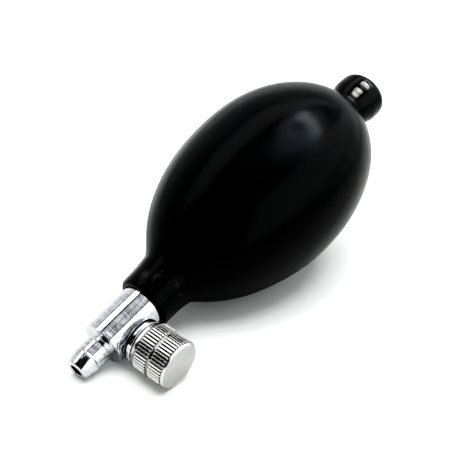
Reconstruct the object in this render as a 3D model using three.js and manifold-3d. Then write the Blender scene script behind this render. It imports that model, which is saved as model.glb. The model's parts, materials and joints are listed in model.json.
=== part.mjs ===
// Squeeze bulb with an air-release valve: a rubber bulb, a chromed valve body with a side boss,
// a barbed hose nipple, a knurled release screw, and the check valves inside the two necks.
//
// Millimetres. The row frame is the bulb at rest on a table: the table is z = 0, +X points
// towards the hose nipple, +Y towards the knurled knob, +Z up, and the origin is under the middle
// of the whole object. Everything is first built in the bulb's own frame (x along the bulb's axis
// towards the nipple, y along the knob's axis, z up through the palm wall, origin at the belly's
// centre), then tipped onto the table.
import * as THREE from 'three';
import { mergeVertices } from 'three/addons/utils/BufferGeometryUtils.js';
import Module from 'manifold-3d';

const wasm = await Module();
wasm.setup();

// How the bulb lies on the table.
const REST_PITCH_DEG = 18.17;
const REST_ROLL_DEG = 3.73;
const REST_LIFT = 30.034;
const REST_SHIFT = -15.92;

// Gap kept between neighbouring pieces, and the running clearance of a moving fit.
const GAP = 0.3;
const RUNNING = 0.08;

// Rubber bulb: two half-ellipses blended into a neck at each end.
const BELLY_RADIUS = 27.5;
const FRONT_HALF_LENGTH = 47.5;
const REAR_HALF_LENGTH = 39.8;
const NECK_BLEND_POWER = 6;
const EGG_STEPS = 11;
const WALL = 2.6;
const CAVITY_FRONT = 44;
const CAVITY_BACK = -39;
const FRONT_NECK_RADIUS = 8.7;
const FRONT_NECK_END = 58.2;
const FRONT_NECK_LIP = 0.8;
const NECK_FLARE = 1.5;
const NECK_FLARE_START = 45;
const NECK_FLARE_LENGTH = 3.4;
const NECK_FLARE_STATIONS = [49.5, 52.5];
const REAR_WAIST_RADIUS = 7.3;
const REAR_NECK_RADIUS = 8.2;
const REAR_NECK_BULGE = -46.0;
const REAR_NECK_END = -51.9;
const REAR_NECK_SHOULDER = 3.4;

// Palm wall: the patch of the bulb that a palm pushes in.
const PALM_HALF_LENGTH = 24;
const PALM_HALF_WIDTH = 16;

// Valve body and its side boss.
const BODY_RADIUS = 7.0;
const BODY_BORE = 4.6;
const BODY_BACK = 44.5;
const BODY_LEAD_IN = 0.9;
const BODY_FRONT = 73.6;
const CHAMBER_BACK = 61.5;
const CHAMBER_RADIUS = 3.2;
const BOSS_STATION = 67.4;
const BOSS_NECK_RADIUS = 4.0;
const BOSS_RADIUS = 6.9;
const BOSS_BACK = 7.3;
const BOSS_END = 9.5;
const BOSS_BORE = 3.0;
const NEEDLE_HOLE = 1.1;
const EDGE = 0.3;

// Hose nipple.
const FLANGE_BACK = 73.9;
const FLANGE_FRONT = 75.2;
const RELIEF_RADIUS = 4.6;
const RELIEF_DEPTH = 0.2;
const NOTCH_RADIUS = 3.7;
const NOTCH_FRONT = 76.4;
const COLLAR_BARB_BASE = 77.1;
const COLLAR_BARB_RADIUS = 4.4;
const COLLAR_BARB_TIP = 81.0;
const COLLAR_BARB_TIP_RADIUS = 4.2;
const BARB_BASE = 81.6;
const BARB_BASE_RADIUS = 4.5;
const BARB_TIP = 86.1;
const BARB_TIP_RADIUS = 3.5;
const NIPPLE_BORE = 1.95;
const SHANK_BACK = 70.9;
const BARB_LIP = 0.6;
const GASKET_WIDTH = 0.7;
const GASKET_THICKNESS = 0.5;

// Outlet check valve inside the front neck.
const SEAT_BACK = 45.2;
const SEAT_FRONT = 47.6;
const SEAT_HOLE = 1.4;
const SEAT_CONE_DEPTH = 0.9;
const BALL_RADIUS = 2.3;
const BALL_STATION = 48.8;
const SPRING_RADIUS = 1.9;
const SPRING_WIRE = 0.28;
const SPRING_TURNS = 4;
const BALL_TRAVEL = 1.3;
const RETAINER_BACK = 58.6;
const RETAINER_FRONT = 60.2;

// Release valve in the boss, measured outwards from the bulb's axis.
const RELEASE_SEAT_BACK = 3.2;
const RELEASE_SEAT_FRONT = 4.5;
const RELEASE_SEAT_HOLE = 0.9;
const RELEASE_SEAT_CONE = 0.6;
const PAD_BACK = 4.7;
const PAD_FRONT = 5.7;
const PAD_RADIUS = 1.5;
const WASHER_BACK = 6.2;
const WASHER_FRONT = 6.7;
const BUSH_BACK = 7.0;
const BUSH_FRONT = 8.5;

// Release screw and knob, measured outwards from the bulb's axis.
const SCREW_TIP = 5.9;
const SCREW_RADIUS = 1.6;
const STEM_START = 7.2;
const STEM_TURNED_RADIUS = 1.9;
const SCREW_END = 18.6;
const COLLAR_RADIUS = 2.6;
const COLLAR_BACK = 8.8;
const KNOB_BACK = 9.8;
const KNOB_FRONT = 22.4;
const KNOB_RADIUS = 7.7;
const KNOB_SKIRT_RADIUS = 6.9;
const KNOB_SKIRT_END = 11.3;
const KNOB_GROOVE_START = 16.1;
const KNOB_GROOVE_END = 16.9;
const KNOB_GROOVE_RADIUS = 7.1;
const KNOB_BEVEL_START = 21.6;
const KNOB_FACE_RADIUS = 6.95;
const KNOB_RIBS = 48;
const KNOB_RIB_HEIGHT = 0.35;
const KNOB_RIM = 0.25;
const CAP_DEPTH = 1.1;

// Intake valve inside the rear neck.
const INTAKE_RADIUS = 4.9;
const INTAKE_BORE = 4.0;
const INTAKE_OUTER_END = -51.6;
const INTAKE_INNER_END = -40.2;
const GRILLE_OUTER = -51.4;
const GRILLE_THICKNESS = 1.1;
const GRILLE_HOLES = { radius: 0.7, ring: 2.4, count: 6 };
const SCREEN_OUTER = -49.9;
const SCREEN_THICKNESS = 0.3;
const SCREEN_HOLES = { radius: 0.35, ring: 1.6, count: 8 };
const INTAKE_SEAT_OUTER = -49.2;
const INTAKE_SEAT_INNER = -47.6;
const INTAKE_SEAT_HOLE = 1.9;
const FLAP_OUTER = -47.5;
const FLAP_THICKNESS = 0.6;
const FLAP_RADIUS = 3.0;
const CAGE_OUTER = -45.3;
const CAGE_INNER = -43.6;
const CAGE_HOLE = 2.4;
const CAGE_BAR = 0.9;

const SMOOTH = 36;
const COARSE = 24;
const DRILLED = 12;

// ---------------------------------------------------------------- geometry helpers

/** Welds a geometry's vertices and drops the flat triangles that welding leaves on an axis. */
function weld(geometry) {
  geometry.deleteAttribute('normal');
  geometry.deleteAttribute('uv');
  const welded = mergeVertices(geometry, 1e-4);
  const corners = welded.index.array;
  const kept = [];
  for (let i = 0; i < corners.length; i += 3) {
    const [a, b, c] = [corners[i], corners[i + 1], corners[i + 2]];
    if (a !== b && b !== c && c !== a) kept.push(a, b, c);
  }
  welded.setIndex(kept);
  return welded;
}

/** Turns a three.js geometry into a solid that can be joined and cut. */
function solid(geometry) {
  const welded = weld(geometry);
  return new wasm.Manifold(new wasm.Mesh({
    numProp: 3,
    vertProperties: new Float32Array(welded.attributes.position.array),
    triVerts: new Uint32Array(welded.index.array),
  }));
}

/** Turns a solid back into a three.js geometry. */
function geometryOf(shape) {
  const mesh = shape.getMesh();
  const geometry = new THREE.BufferGeometry();
  geometry.setAttribute('position', new THREE.BufferAttribute(new Float32Array(mesh.vertProperties), 3));
  geometry.setIndex(Array.from(mesh.triVerts));
  return geometry;
}

/** Solid of revolution about x. The profile is [radius, station] pairs, outer wall first, going +x. */
function turned(profile, segments = COARSE) {
  const points = profile.map(([radius, station]) => new THREE.Vector2(radius, station));
  return solid(new THREE.LatheGeometry(points, segments).rotateZ(-Math.PI / 2));
}

/** Plain tube about x. */
function tube(inner, outer, back, front, segments = COARSE) {
  return turned([[outer, back], [outer, front], [inner, front], [inner, back], [outer, back]], segments);
}

/** Plain rod about x. */
function rod(radius, back, front, segments = COARSE) {
  return turned([[0, back], [radius, back], [radius, front], [0, front]], segments);
}

/** Moves a solid built about x onto the knob's axis, its stations now measured outwards along y. */
function ontoKnobAxis(shape) {
  return shape.rotate([0, 0, 90]).translate([BOSS_STATION, 0, 0]);
}

// ---------------------------------------------------------------- the rubber bulb

/** Radius of the neck at a station. The front neck flares out into the egg. */
function neckRadius(station) {
  if (station <= 0) return REAR_WAIST_RADIUS;
  const past = Math.max(0, station - NECK_FLARE_START);
  return FRONT_NECK_RADIUS + NECK_FLARE * Math.exp(-past / NECK_FLARE_LENGTH);
}

/** Radius of the bulb's outside at a station on its axis. */
function bulbRadius(station) {
  const half = station > 0 ? FRONT_HALF_LENGTH : REAR_HALF_LENGTH;
  const neck = neckRadius(station);
  const share = Math.min(1, Math.abs(station) / half);
  const egg = BELLY_RADIUS * Math.sqrt(1 - share * share);
  return Math.pow(egg ** NECK_BLEND_POWER + neck ** NECK_BLEND_POWER, 1 / NECK_BLEND_POWER);
}

/** Stations along the egg, evenly turned round its ends so that they crowd where it narrows. */
function bulbStations() {
  const stations = [];
  for (let i = -EGG_STEPS; i <= EGG_STEPS; i += 1) {
    const turn = Math.sin(0.5 * Math.PI * i / EGG_STEPS);
    stations.push(turn * (turn > 0 ? FRONT_HALF_LENGTH : REAR_HALF_LENGTH));
  }
  return stations;
}

/** Shell of the bulb: outside with both necks, hollow inside, open through both necks. */
function bulbShell() {
  const frontBore = BODY_RADIUS + GAP;
  const rearBore = INTAKE_RADIUS + GAP;
  const shoulderCentre = REAR_NECK_END + REAR_NECK_SHOULDER;
  const shoulder = [15, 40, 65, 90].map((degrees) => {
    const angle = THREE.MathUtils.degToRad(degrees);
    return [
      REAR_NECK_RADIUS - REAR_NECK_SHOULDER * (1 - Math.sin(angle)),
      shoulderCentre - REAR_NECK_SHOULDER * Math.cos(angle),
    ];
  });
  const outside = [
    ...shoulder,
    [REAR_NECK_RADIUS, REAR_NECK_BULGE],
    ...bulbStations().map((station) => [bulbRadius(station), station]),
    ...NECK_FLARE_STATIONS.map((station) => [bulbRadius(station), station]),
    [FRONT_NECK_RADIUS, FRONT_NECK_END - FRONT_NECK_LIP],
    [FRONT_NECK_RADIUS - FRONT_NECK_LIP, FRONT_NECK_END],
  ];
  const cavity = bulbStations()
    .filter((station) => bulbRadius(station) - WALL > (station > 0 ? frontBore : rearBore))
    .map((station) => [bulbRadius(station) - WALL, station])
    .reverse();
  const inside = [
    [frontBore, FRONT_NECK_END],
    [frontBore, CAVITY_FRONT],
    ...cavity,
    [rearBore, CAVITY_BACK],
    [rearBore, REAR_NECK_END],
  ];
  return turned([...outside, ...inside, outside[0]], SMOOTH);
}

/** Upright elliptical prism over the palm wall, grown or shrunk by a margin. */
function palmPrism(margin) {
  const shape = new THREE.Shape();
  shape.absellipse(0, 0, PALM_HALF_LENGTH + margin, PALM_HALF_WIDTH + margin, 0, 2 * Math.PI);
  const outline = { depth: 2 * BELLY_RADIUS, bevelEnabled: false, curveSegments: COARSE };
  return solid(new THREE.ExtrudeGeometry(shape, outline));
}

function rubberBulb() {
  return bulbShell().subtract(palmPrism(GAP));
}

function squeezeWall() {
  return bulbShell().intersect(palmPrism(0));
}

// ---------------------------------------------------------------- valve body and nipple

function valveBody() {
  const outside = turned([
    [0, BODY_BACK],
    [BODY_RADIUS - BODY_LEAD_IN, BODY_BACK],
    [BODY_RADIUS, BODY_BACK + BODY_LEAD_IN],
    [BODY_RADIUS, BODY_FRONT - EDGE],
    [BODY_RADIUS - EDGE, BODY_FRONT],
    [0, BODY_FRONT],
  ], SMOOTH);
  const boss = ontoKnobAxis(turned([
    [0, 0],
    [BOSS_NECK_RADIUS, 0],
    [BOSS_NECK_RADIUS, BOSS_BACK],
    [BOSS_RADIUS, BOSS_BACK],
    [BOSS_RADIUS, BOSS_END - EDGE],
    [BOSS_RADIUS - EDGE, BOSS_END],
    [0, BOSS_END],
  ], SMOOTH));
  const valveBore = rod(BODY_BORE, BODY_BACK - 1, CHAMBER_BACK);
  const chamber = rod(CHAMBER_RADIUS, CHAMBER_BACK - 1, SHANK_BACK);
  const nippleBore = rod(BODY_BORE, SHANK_BACK - GAP, BODY_FRONT + 1);
  const gasketSeat = rod(BODY_BORE + GASKET_WIDTH + GAP, BODY_FRONT - GASKET_THICKNESS, BODY_FRONT + 1);
  const needleHole = ontoKnobAxis(rod(NEEDLE_HOLE, 1, BOSS_END));
  const screwBore = ontoKnobAxis(rod(BOSS_BORE, RELEASE_SEAT_BACK - 0.1, BOSS_END + 1));
  return outside
    .add(boss)
    .subtract(valveBore)
    .subtract(chamber)
    .subtract(nippleBore)
    .subtract(gasketSeat)
    .subtract(needleHole)
    .subtract(screwBore);
}

function hoseNipple() {
  const shankRadius = BODY_BORE - GAP;
  return turned([
    [shankRadius, SHANK_BACK],
    [shankRadius, FLANGE_BACK],
    [BODY_RADIUS, FLANGE_BACK],
    [BODY_RADIUS, FLANGE_FRONT - EDGE],
    [BODY_RADIUS - EDGE, FLANGE_FRONT],
    [RELIEF_RADIUS, FLANGE_FRONT],
    [NOTCH_RADIUS, FLANGE_FRONT - RELIEF_DEPTH],
    [NOTCH_RADIUS, NOTCH_FRONT],
    [COLLAR_BARB_RADIUS, COLLAR_BARB_BASE],
    [COLLAR_BARB_TIP_RADIUS, COLLAR_BARB_TIP],
    [NOTCH_RADIUS, COLLAR_BARB_TIP + EDGE],
    [BARB_BASE_RADIUS, BARB_BASE],
    [BARB_TIP_RADIUS, BARB_TIP - BARB_LIP],
    [BARB_TIP_RADIUS - EDGE, BARB_TIP],
    [NIPPLE_BORE, BARB_TIP],
    [NIPPLE_BORE, SHANK_BACK],
    [shankRadius, SHANK_BACK],
  ], SMOOTH);
}

function nippleGasket() {
  const back = BODY_FRONT - GASKET_THICKNESS + 0.1;
  return tube(BODY_BORE, BODY_BORE + GASKET_WIDTH, back, back + GASKET_THICKNESS);
}

// ---------------------------------------------------------------- outlet check valve

function outletSeat() {
  const radius = BODY_BORE - RUNNING;
  return turned([
    [radius, SEAT_BACK],
    [radius, SEAT_FRONT],
    [BALL_RADIUS, SEAT_FRONT],
    [SEAT_HOLE, SEAT_FRONT - SEAT_CONE_DEPTH],
    [SEAT_HOLE, SEAT_BACK],
    [radius, SEAT_BACK],
  ]);
}

function outletBall() {
  return solid(new THREE.SphereGeometry(BALL_RADIUS, COARSE, 14)).translate([BALL_STATION, 0, 0]);
}

/** Helix of round wire about x between two stations. */
class Helix extends THREE.Curve {
  constructor(radius, turns, back, front) {
    super();
    Object.assign(this, { radius, turns, back, front });
  }

  getPoint(share, target = new THREE.Vector3()) {
    const angle = 2 * Math.PI * this.turns * share;
    const station = this.back + (this.front - this.back) * share;
    return target.set(station, this.radius * Math.cos(angle), this.radius * Math.sin(angle));
  }
}

function outletSpring() {
  const wire = new THREE.Shape();
  wire.absarc(0, 0, SPRING_WIRE, 0, 2 * Math.PI);
  const back = BALL_STATION + BALL_RADIUS + SPRING_WIRE + GAP;
  const front = RETAINER_BACK - SPRING_WIRE - GAP - BALL_TRAVEL;
  const path = new Helix(SPRING_RADIUS, SPRING_TURNS, back, front);
  const steps = { steps: SPRING_TURNS * 16, curveSegments: 4, bevelEnabled: false, extrudePath: path };
  return solid(new THREE.ExtrudeGeometry(wire, steps));
}

function springRetainer() {
  return tube(SPRING_RADIUS - 0.5, BODY_BORE - RUNNING, RETAINER_BACK, RETAINER_FRONT);
}

// ---------------------------------------------------------------- release screw

function glandBush() {
  const radius = BOSS_BORE - RUNNING;
  return ontoKnobAxis(tube(STEM_TURNED_RADIUS + RUNNING, radius, BUSH_BACK, BUSH_FRONT));
}

function glandWasher() {
  const radius = BOSS_BORE - GAP;
  return ontoKnobAxis(tube(STEM_TURNED_RADIUS + RUNNING, radius, WASHER_BACK, WASHER_FRONT));
}

function releaseSeat() {
  const radius = BOSS_BORE - RUNNING;
  return ontoKnobAxis(turned([
    [radius, RELEASE_SEAT_BACK],
    [radius, RELEASE_SEAT_FRONT],
    [RELEASE_SEAT_HOLE + RELEASE_SEAT_CONE, RELEASE_SEAT_FRONT],
    [RELEASE_SEAT_HOLE, RELEASE_SEAT_FRONT - RELEASE_SEAT_CONE],
    [RELEASE_SEAT_HOLE, RELEASE_SEAT_BACK],
    [radius, RELEASE_SEAT_BACK],
  ]));
}

function sealPad() {
  return ontoKnobAxis(turned([
    [0, PAD_BACK],
    [PAD_RADIUS - EDGE, PAD_BACK],
    [PAD_RADIUS, PAD_BACK + EDGE],
    [PAD_RADIUS, PAD_FRONT],
    [0, PAD_FRONT],
  ]));
}

function releaseScrew() {
  return ontoKnobAxis(turned([
    [0, SCREW_TIP],
    [SCREW_RADIUS, SCREW_TIP],
    [SCREW_RADIUS, STEM_START],
    [STEM_TURNED_RADIUS, STEM_START + EDGE],
    [STEM_TURNED_RADIUS, SCREW_END - EDGE],
    [STEM_TURNED_RADIUS - EDGE, SCREW_END],
    [0, SCREW_END],
  ]));
}

function stemCollar() {
  return ontoKnobAxis(tube(STEM_TURNED_RADIUS + RUNNING, COLLAR_RADIUS, COLLAR_BACK, KNOB_BACK - 0.1));
}

/** Band of straight V-shaped ribs about x. */
function knurledBand(back, front) {
  const outline = new THREE.Shape();
  for (let i = 0; i < 2 * KNOB_RIBS; i += 1) {
    const angle = Math.PI * i / KNOB_RIBS;
    const radius = i % 2 ? KNOB_RADIUS - KNOB_RIB_HEIGHT : KNOB_RADIUS;
    const [x, y] = [radius * Math.cos(angle), radius * Math.sin(angle)];
    if (i) outline.lineTo(x, y);
    else outline.moveTo(x, y);
  }
  outline.closePath();
  const band = new THREE.ExtrudeGeometry(outline, { depth: front - back, bevelEnabled: false });
  return solid(band).rotate([0, 90, 0]).translate([back, 0, 0]);
}

function knobGrip() {
  const core = turned([
    [0, KNOB_BACK],
    [KNOB_SKIRT_RADIUS - 2 * EDGE, KNOB_BACK],
    [KNOB_SKIRT_RADIUS, KNOB_BACK + 2 * EDGE],
    [KNOB_SKIRT_RADIUS, KNOB_SKIRT_END - EDGE],
    [KNOB_GROOVE_RADIUS, KNOB_SKIRT_END],
    [KNOB_GROOVE_RADIUS, KNOB_BEVEL_START - EDGE],
    [KNOB_RADIUS - KNOB_RIB_HEIGHT, KNOB_BEVEL_START],
    [KNOB_FACE_RADIUS, KNOB_FRONT],
    [0, KNOB_FRONT],
  ], SMOOTH);
  const screwHole = rod(STEM_TURNED_RADIUS + RUNNING, KNOB_BACK - 1, SCREW_END + GAP);
  const capSeat = rod(KNOB_FACE_RADIUS - KNOB_RIM, KNOB_FRONT - CAP_DEPTH, KNOB_FRONT + 1, SMOOTH);
  return ontoKnobAxis(core
    .add(knurledBand(KNOB_SKIRT_END, KNOB_GROOVE_START))
    .add(knurledBand(KNOB_GROOVE_END, KNOB_BEVEL_START))
    .subtract(screwHole)
    .subtract(capSeat));
}

function knobCap() {
  const radius = KNOB_FACE_RADIUS - KNOB_RIM - RUNNING;
  return ontoKnobAxis(rod(radius, KNOB_FRONT - CAP_DEPTH + RUNNING, KNOB_FRONT, SMOOTH));
}

// ---------------------------------------------------------------- intake valve

/** Disc about x, pierced in the middle and by a ring of round holes. */
function piercedDisc(radius, back, thickness, holes) {
  const drill = rod(holes.radius, back - 1, back + thickness + 1, DRILLED);
  let disc = rod(radius, back, back + thickness).subtract(drill);
  for (let i = 0; i < holes.count; i += 1) {
    const offset = drill.translate([0, holes.ring, 0]);
    disc = disc.subtract(offset.rotate([360 * i / holes.count, 0, 0]));
  }
  return disc;
}

function intakeHousing() {
  return turned([
    [INTAKE_RADIUS, INTAKE_OUTER_END],
    [INTAKE_RADIUS, INTAKE_INNER_END],
    [INTAKE_BORE, INTAKE_INNER_END],
    [INTAKE_BORE, INTAKE_OUTER_END],
    [INTAKE_RADIUS, INTAKE_OUTER_END],
  ]);
}

function intakeGrille() {
  return piercedDisc(INTAKE_BORE - RUNNING, GRILLE_OUTER, GRILLE_THICKNESS, GRILLE_HOLES);
}

function intakeScreen() {
  return piercedDisc(INTAKE_BORE - GAP, SCREEN_OUTER, SCREEN_THICKNESS, SCREEN_HOLES);
}

function intakeSeat() {
  return tube(INTAKE_SEAT_HOLE, INTAKE_BORE - RUNNING, INTAKE_SEAT_OUTER, INTAKE_SEAT_INNER);
}

function intakeDisc() {
  return rod(FLAP_RADIUS, FLAP_OUTER, FLAP_OUTER + FLAP_THICKNESS);
}

function intakeCage() {
  const ring = tube(CAGE_HOLE, INTAKE_BORE - RUNNING, CAGE_OUTER, CAGE_INNER);
  const bar = new THREE.BoxGeometry(CAGE_BAR, 2 * (CAGE_HOLE + CAGE_BAR), CAGE_BAR);
  const upright = solid(bar).translate([CAGE_OUTER + CAGE_BAR, 0, 0]);
  return ring.add(upright).add(upright.rotate([90, 0, 0]));
}

// ---------------------------------------------------------------- the assembly

const BLACK_RUBBER = { color: 0x0b0c0e, roughness: 0.42, metalness: 0 };
const SEAL_RUBBER = { color: 0x1a1a1c, roughness: 0.7, metalness: 0 };
const CHROME = { color: 0xe3e8ee, roughness: 0.08, metalness: 1 };
const NICKEL = { color: 0xcfcdc8, roughness: 0.25, metalness: 1 };
const STEEL = { color: 0xb9bcc0, roughness: 0.3, metalness: 1 };
const BRASS = { color: 0xb5945a, roughness: 0.35, metalness: 1 };
const WHITE_NYLON = { color: 0xe6e2d8, roughness: 0.5, metalness: 0 };

const PIECES = [
  ['rubber_bulb', rubberBulb, BLACK_RUBBER],
  ['squeeze_wall', squeezeWall, BLACK_RUBBER],
  ['valve_body', valveBody, CHROME],
  ['hose_nipple', hoseNipple, CHROME],
  ['nipple_gasket', nippleGasket, SEAL_RUBBER],
  ['outlet_seat', outletSeat, BRASS],
  ['outlet_ball', outletBall, STEEL],
  ['outlet_spring', outletSpring, STEEL],
  ['spring_retainer', springRetainer, BRASS],
  ['gland_bush', glandBush, BRASS],
  ['gland_washer', glandWasher, SEAL_RUBBER],
  ['release_seat', releaseSeat, BRASS],
  ['seal_pad', sealPad, SEAL_RUBBER],
  ['release_screw', releaseScrew, STEEL],
  ['stem_collar', stemCollar, STEEL],
  ['knob_grip', knobGrip, NICKEL],
  ['knob_cap', knobCap, NICKEL],
  ['intake_housing', intakeHousing, BRASS],
  ['intake_grille', intakeGrille, BRASS],
  ['intake_screen', intakeScreen, STEEL],
  ['intake_seat', intakeSeat, BRASS],
  ['intake_disc', intakeDisc, SEAL_RUBBER],
  ['intake_cage', intakeCage, WHITE_NYLON],
];

/** Builds every piece and tips the whole bulb onto the table. */
function squeezeBulb() {
  const bulb = new THREE.Group();
  for (const [name, build, look] of PIECES) {
    const mesh = new THREE.Mesh(geometryOf(build()), new THREE.MeshStandardMaterial(look));
    mesh.name = name;
    bulb.add(mesh);
  }
  const rolled = new THREE.Group();
  rolled.rotation.x = -THREE.MathUtils.degToRad(REST_ROLL_DEG);
  rolled.add(bulb);
  const row = new THREE.Group();
  row.rotation.y = THREE.MathUtils.degToRad(REST_PITCH_DEG);
  row.position.set(REST_SHIFT, 0, REST_LIFT);
  row.add(rolled);
  const scene = new THREE.Group();
  scene.add(row);
  return scene;
}

export default squeezeBulb();
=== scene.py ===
"""Looks of a rubber squeeze bulb with an air release valve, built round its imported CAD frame.

The bulb lies on a white table. Nearly all its pieces are solids of revolution about one of two
axes: the bulb's own axis, or the release screw's axis, which leaves it at a right angle. Stations
along an axis and radii about it are in millimetres; Blender's own units are metres.
"""
import json
import math

import bmesh
import bpy
from mathutils import Matrix, Vector, noise


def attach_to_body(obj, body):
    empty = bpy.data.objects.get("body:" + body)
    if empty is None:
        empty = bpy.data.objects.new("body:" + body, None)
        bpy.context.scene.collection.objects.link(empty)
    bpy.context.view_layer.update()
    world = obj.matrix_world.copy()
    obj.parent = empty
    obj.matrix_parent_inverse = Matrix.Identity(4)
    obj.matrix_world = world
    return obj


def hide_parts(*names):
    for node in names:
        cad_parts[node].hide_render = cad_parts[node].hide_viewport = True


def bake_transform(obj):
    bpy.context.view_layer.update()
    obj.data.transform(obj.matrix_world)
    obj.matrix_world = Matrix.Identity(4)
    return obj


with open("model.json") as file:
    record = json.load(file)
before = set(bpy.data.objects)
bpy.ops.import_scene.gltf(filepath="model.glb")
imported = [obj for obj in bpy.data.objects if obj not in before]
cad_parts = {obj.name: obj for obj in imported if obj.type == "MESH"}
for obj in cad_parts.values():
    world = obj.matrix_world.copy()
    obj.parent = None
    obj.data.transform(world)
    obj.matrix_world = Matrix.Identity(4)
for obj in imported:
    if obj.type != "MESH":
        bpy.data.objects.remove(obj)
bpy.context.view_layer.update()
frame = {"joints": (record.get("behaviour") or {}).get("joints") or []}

MM = 0.001

# Where the release screw leaves the bulb's axis, and where its knob starts.
SCREW_STATION = 67.4
KNOB_BACK = 9.8

# Rubber bulb.
BELLY_RADIUS = 27.5
FRONT_HALF_LENGTH = 47.5
REAR_HALF_LENGTH = 39.8
NECK_BLEND_POWER = 6
WALL = 2.6
FRONT_NECK_RADIUS = 8.65
NECK_FLARE = 1.5
NECK_FLARE_START = 45
NECK_FLARE_LENGTH = 3.4
FRONT_NECK_END = 58.2
REAR_WAIST_RADIUS = 7.3
REAR_WAIST_STATION = -40.5
REAR_NECK_RADIUS = 8.2
REAR_BARREL_STATION = -46.0
REAR_NECK_END = -51.9
SHOULDER = 3.4
MOUTH_LIP = 0.9
MOUTH_EASE = 0.25
FRONT_BORE = 7.05
REAR_BORE = 4.95
CAVITY_SHRINK = 1.03
CAVITY_BLEND_POWER = 8
SKIN_STEP = 0.6
CAVITY_STEP = 1.5

# How far the moulded skin strays from its ideal shape.
SEAM_ANGLE = math.radians(150)
SEAM_HEIGHT = 0.09
SEAM_WIDTH = 0.22
UNEVEN = 0.10
UNEVEN_FINE = 0.03
REAR_DRIFT = 1.25
FRONT_DRIFT = 0.45
DRIFT_SPAN = 62
NECK_LEAN = 0.25

# Valve body and hose nipple.
BODY_RADIUS = 7.0
BODY_BACK = 44.5
BODY_FRONT = 73.72
BODY_BORE = 4.6
CHAMBER_BACK = 61.5
CHAMBER_RADIUS = 3.2
SHANK_BACK = 70.9
GASKET_SEAT_RADIUS = 5.6
GASKET_SEAT_DEPTH = 0.5
AIR_HOLE_RADIUS = 1.1
BOSS_NECK_RADIUS = 4.0
BOSS_RADIUS = 6.9
BOSS_BACK = 7.3
BOSS_END = 9.5
# Where the painted shade on the boss's rim ends, as a station along the screw's axis.
BOSS_SHADE_END = 8.4
BOSS_BORE = 3.0
BOSS_BORE_BACK = 3.1
FLANGE_BACK = 73.78
FLANGE_FRONT = 75.2
NOTCH_RADIUS = 3.7
NOTCH_FRONT = 76.4
COLLAR_BARB_BASE = 77.1
COLLAR_BARB_RADIUS = 4.4
BARB_BASE = 81.5
BARB_BASE_RADIUS = 4.5
BARB_TIP = 86.1
BARB_TIP_RADIUS = 3.5
NIPPLE_BORE = 1.95

# Release knob.
KNOB_FRONT = 22.4
KNOB_RADIUS = 7.7
KNOB_ROOT = 7.15
KNOB_GROOVE = 7.05
KNOB_SKIRT = 6.9
KNOB_RIBS = 48
KNOB_BANDS = ((11.5, 16.1), (16.9, 21.7))
KNOB_FACE = 6.9
KNOB_HUB_RADIUS = 2.0
KNOB_RECESS = 1.1

# Points round a turned piece, and steps in a fillet.
AROUND = 128
ARC_STEPS = 5


# ---------------------------------------------------------------- places

joints = {joint["name"]: joint for joint in frame["joints"]}
ALONG = Vector(joints["outlet_lift"]["axis"]).normalized()
SIDE = Vector(joints["knob_turn"]["axis"]).normalized()
UP = ALONG.cross(SIDE).normalized()
SCREW_ROOT = Vector(joints["knob_turn"]["pos_m"]) - SIDE * KNOB_BACK * MM
BELLY_CENTRE = SCREW_ROOT - ALONG * SCREW_STATION * MM


def place(origin, x_axis, y_axis, z_axis):
    """Matrix that carries millimetres along three axes to the row frame."""
    turned = Matrix((x_axis, y_axis, z_axis)).transposed().to_4x4()
    return Matrix.Translation(origin) @ turned @ Matrix.Scale(MM, 4)


BULB = place(BELLY_CENTRE, ALONG, SIDE, UP)
SCREW = place(SCREW_ROOT, SIDE, -ALONG, UP)


# ---------------------------------------------------------------- mesh helpers

def new_piece(name, points, faces, material):
    """Mesh object from points in the row frame, with smooth faces and crisp edges."""
    mesh = bpy.data.meshes.new(name)
    mesh.from_pydata(points, [], faces)
    piece = bpy.data.objects.new(name, mesh)
    bpy.context.scene.collection.objects.link(piece)
    settle(piece, material)
    return piece


def settle(piece, material, crease=32):
    """Faces outwards, smooth shading, sharp edges above the crease angle, one material."""
    shape = bmesh.new()
    shape.from_mesh(piece.data)
    bmesh.ops.recalc_face_normals(shape, faces=shape.faces)
    shape.to_mesh(piece.data)
    shape.free()
    piece.data.shade_smooth()
    piece.data.set_sharp_from_angle(angle=math.radians(crease))
    piece.data.materials.clear()
    piece.data.materials.append(material)


def attach(piece, body, slot, *nodes):
    """The piece rides on a body and stands for CAD nodes, which are hidden. The slot is not used."""
    if body:
        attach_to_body(piece, body)
    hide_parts(*nodes)
    return piece


def rounded(corners):
    """Outline through (radius, station, fillet) corners. A corner with a fillet becomes an arc."""
    outline = []
    for i, (radius, station, fillet) in enumerate(corners):
        here = Vector((radius, station, 0))
        if not fillet:
            outline.append((radius, station))
            continue
        before = (Vector((*corners[i - 1][:2], 0)) - here).normalized()
        after = (Vector((*corners[(i + 1) % len(corners)][:2], 0)) - here).normalized()
        half = before.angle(after) / 2
        start = here + before * fillet / math.tan(half)
        end = here + after * fillet / math.tan(half)
        centre = here + (before + after).normalized() * fillet / math.sin(half)
        for step in range(ARC_STEPS + 1):
            arm = (start - centre).slerp(end - centre, step / ARC_STEPS).normalized()
            outline.append((centre + arm * fillet).to_2d()[:])
    return outline


def even_angles(count):
    return [2 * math.pi * i / count for i in range(count)]


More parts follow.
